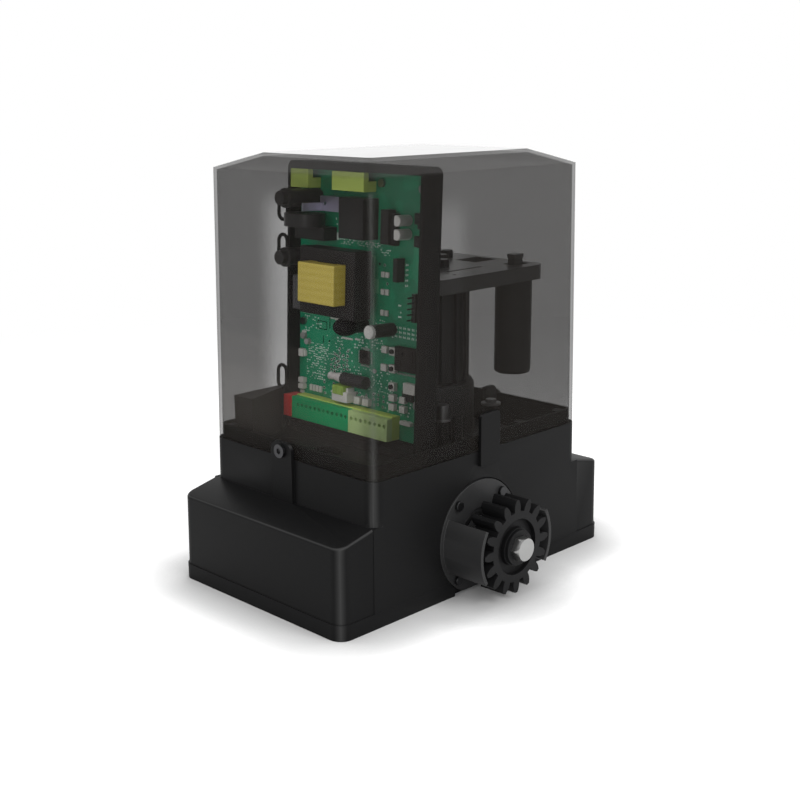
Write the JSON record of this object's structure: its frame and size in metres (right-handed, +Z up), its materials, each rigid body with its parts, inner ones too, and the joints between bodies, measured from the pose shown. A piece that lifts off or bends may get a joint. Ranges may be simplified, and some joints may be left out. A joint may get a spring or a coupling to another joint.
{
  "type": "sliding gate motor",
  "caption": "Floor-standing sliding gate operator: rack pinion and guard on a black housing, worm gearmotor and control board under a translucent lift-off cover.",
  "frame": {"origin": "middle of the underside, at the centre of the four anchor slots", "axes": "+Z up from the foundation, +X right along the pinion side, -Y out of the pinion side towards the gate rack"},
  "size_m": [0.2982, 0.225, 0.3228],
  "materials": {
    "black_plastic": "fine satin texture, near black",
    "tray_plastic": "satin black",
    "smoke_plastic": "translucent smoke grey, glossy",
    "guard_plastic": "satin black",
    "cast_aluminium": "die cast, fine grain",
    "pinion_steel": "machined and zinc plated",
    "bright_steel": "bright machined",
    "dark_steel": "blackened",
    "bronze": "machined bronze",
    "seal_rubber": "moulded rubber",
    "lamination_steel": "stacked laminations, varnished",
    "copper_winding": "enamelled copper wire",
    "yellow_tape": "yellow insulating tape",
    "capacitor_case": "satin black",
    "board_green": "green solder mask",
    "black_component": "moulded black",
    "grey_component": "moulded grey",
    "white_component": "moulded off-white",
    "terminal_yellow_green": "moulded yellow green",
    "terminal_green": "moulded green",
    "terminal_lime": "moulded pale lime",
    "terminal_red": "moulded red"
  },
  "bodies": {
    "gearmotor": {"antenna_socket": "grey_component", "board_screws": "bright_steel", "board_tray": "tray_plastic", "button_bodies": "white_component", "cable_eyes": "tray_plastic", "cable_lug": "black_plastic", "capacitor_clip": "black_plastic", "choke_base": "black_component", "choke_ring": "copper_winding", "circuit_board": "board_green", "cover_screws": "bright_steel", "deck_screws": "dark_steel", "electrolytic_capacitors": "black_component", "electronics_deck": "tray_plastic", "film_capacitor": "grey_component", "fuse_holders": "black_component", "gearbox_case": "cast_aluminium", "gearbox_front_cover": "cast_aluminium", "gearbox_screws": "dark_steel", "green_plug": "terminal_green", "guard_screws": "dark_steel", "heat_sink_tab": "bright_steel", "housing_tub": "black_plastic", "integrated_circuits": "black_component", "lime_plug": "terminal_lime", "mains_terminal": "terminal_red", "motor_lower_shield": "cast_aluminium", "motor_tie_rods": "bright_steel", "motor_tube": "cast_aluminium", "output_bearings": "bright_steel", "pillar_hardware": "bright_steel", "pin_headers": "black_component", "pinion_guard": "guard_plastic", "plate_screws": "dark_steel", "power_relay": "black_component", "radio_module": "grey_component", "rotor_bearings": "bright_steel", "run_capacitor": "capacitor_case", "shaft_seal": "seal_rubber", "small_connectors": "white_component", "stator_core": "lamination_steel", "stator_windings": "copper_winding", "terminal_header": "terminal_lime", "top_bracket_plate": "black_plastic", "transformer_core": "lamination_steel", "transformer_winding": "yellow_tape", "upper_terminals": "terminal_yellow_green"},
    "output_drive": {"output_shaft": "bright_steel", "shaft_keys": "bright_steel", "output_pinion": "pinion_steel", "pinion_spacer": "bright_steel", "pinion_washer": "dark_steel", "pinion_bolt": "bright_steel", "worm_wheel": "bronze"},
    "rotor": {"worm_shaft": "bright_steel", "rotor_core": "lamination_steel"},
    "lift_off_cover": {"cover": "smoke_plastic"},
    "button_upper": {"push_button_upper": "black_component"},
    "button_middle": {"push_button_middle": "black_component"},
    "button_lower": {"push_button_lower": "black_component"}
  },
  "joints": [
    {"name": "output_spin", "type": "hinge", "parent": "gearmotor", "child": "output_drive", "pos_m": [-0.005, -0.115, 0.041], "axis": [0, 1, 0], "continuous": true},
    {"name": "rotor_spin", "type": "hinge", "parent": "gearmotor", "child": "rotor", "pos_m": [0.033, 0.005, 0.041], "axis": [0, 0, 1], "continuous": true},
    {"name": "cover_lift", "type": "slide", "parent": "gearmotor", "child": "lift_off_cover", "axis": [0, 0, 1], "range_m": [0, 0.26]},
    {"name": "press_upper", "type": "slide", "parent": "gearmotor", "child": "button_upper", "axis": [0.9991, 0, -0.0419], "range_m": [0, 0.0003], "stiffness_N_per_m": 400},
    {"name": "press_middle", "type": "slide", "parent": "gearmotor", "child": "button_middle", "axis": [0.9991, 0, -0.0419], "range_m": [0, 0.0003], "stiffness_N_per_m": 400},
    {"name": "press_lower", "type": "slide", "parent": "gearmotor", "child": "button_lower", "axis": [0.9991, 0, -0.0419], "range_m": [0, 0.0003], "stiffness_N_per_m": 400}
  ],
  "couplings": [
    {"joint": "rotor_spin", "follows": "output_spin", "ratio": 30}
  ]
}
